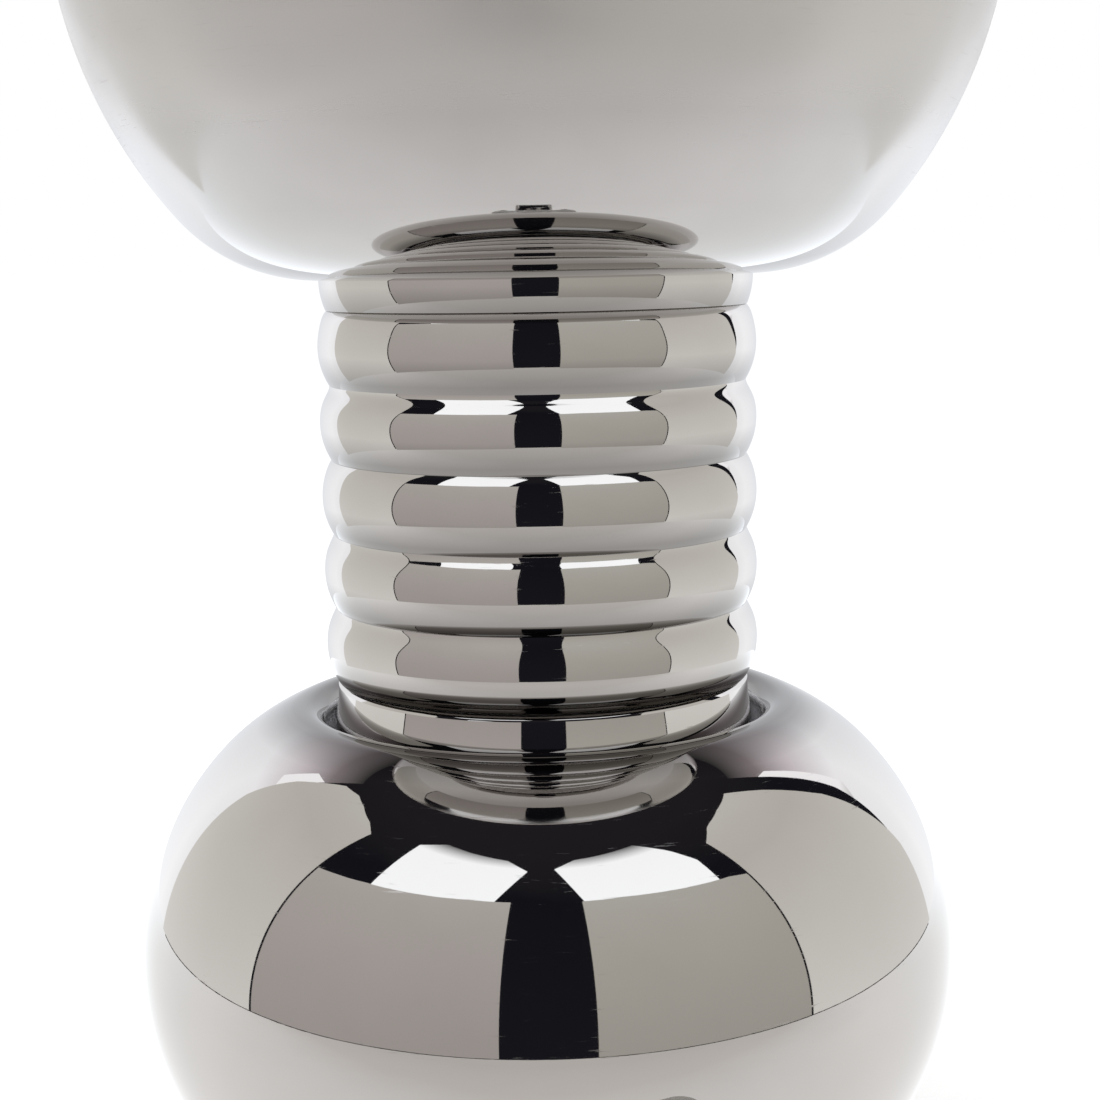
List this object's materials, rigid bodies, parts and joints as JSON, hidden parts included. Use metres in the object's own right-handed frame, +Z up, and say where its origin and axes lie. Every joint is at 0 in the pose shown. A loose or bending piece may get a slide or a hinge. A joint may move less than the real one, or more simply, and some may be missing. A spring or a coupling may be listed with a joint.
{
  "type": "gumball machine",
  "caption": "Counter-top gumball machine: polished steel ball base, ribbed steel neck, steel bowl with a clear upper dome, coin knob, dispensing wheel and chute flap.",
  "frame": {"origin": "on the machine's vertical axis, on the surface it stands on, which is the middle of the bounding box's underside", "axes": "+Z up along the machine's axis, -Y towards the front with the coin knob and the chute flap, +X to the right seen from the front"},
  "size_m": [0.214, 0.219, 0.4466],
  "materials": {
    "polished_steel": "mirror polished steel with fine wiping marks",
    "plain_steel": "brushed",
    "rubber": "matt",
    "clear_dome": "clear and smooth",
    "white_plastic": "moulded",
    "brass": "machined",
    "gumballs": "glossy sugar shell in mixed colours"
  },
  "bodies": {
    "machine": {"base_shell": "polished_steel", "foot_ring": "polished_steel", "lower_collar": "polished_steel", "upper_collar": "polished_steel", "globe_bowl": "polished_steel", "globe_band": "polished_steel", "lid_collar": "polished_steel", "coin_housing": "polished_steel", "coin_plate": "polished_steel", "neck_ring_1": "polished_steel", "neck_ring_2": "polished_steel", "neck_ring_3": "polished_steel", "neck_ring_4": "polished_steel", "neck_ring_5": "polished_steel", "bottom_plate": "plain_steel", "neck_tube": "plain_steel", "ring_nut": "plain_steel", "wheel_deck": "plain_steel", "deck_posts": "plain_steel", "bearing_plate": "plain_steel", "wheel_spindle": "plain_steel", "spindle_nut": "plain_steel", "bottom_screws": "plain_steel", "plate_screws": "plain_steel", "ball_shield": "plain_steel", "chute": "plain_steel", "flap_pin": "plain_steel", "base_gasket": "rubber", "bowl_gasket": "rubber", "globe_gasket": "rubber", "rubber_feet": "rubber", "globe_dome": "clear_dome", "thrust_washer": "white_plastic", "gumball_load": "gumballs"},
    "lid": {"lid": "polished_steel", "lid_gasket": "rubber", "lid_knob": "polished_steel"},
    "coin_drive": {"coin_knob": "polished_steel", "coin_shaft": "plain_steel", "coin_drum": "brass", "shaft_clip": "plain_steel", "drive_pinion": "brass"},
    "wheel": {"dispensing_wheel": "white_plastic", "crown_gear": "white_plastic", "agitator": "white_plastic"},
    "flap": {"chute_flap": "polished_steel"}
  },
  "joints": [
    {"name": "lid_lift", "type": "slide", "parent": "machine", "child": "lid", "axis": [0, 0, 1], "range_m": [0, 0.06]},
    {"name": "knob_turn", "type": "hinge", "parent": "machine", "child": "coin_drive", "pos_m": [0, -0.097, 0.049], "axis": [0, 1, 0], "continuous": true},
    {"name": "wheel_turn", "type": "hinge", "parent": "machine", "child": "wheel", "pos_m": [0, 0, 0.06], "axis": [0, 0, 1], "continuous": true},
    {"name": "flap_swing", "type": "hinge", "parent": "machine", "child": "flap", "pos_m": [0, -0.1009, 0.0316], "axis": [-1, 0, 0], "range_deg": [0, 80]}
  ],
  "couplings": [
    {"joint": "wheel_turn", "follows": "knob_turn", "ratio": 0.16667}
  ]
}
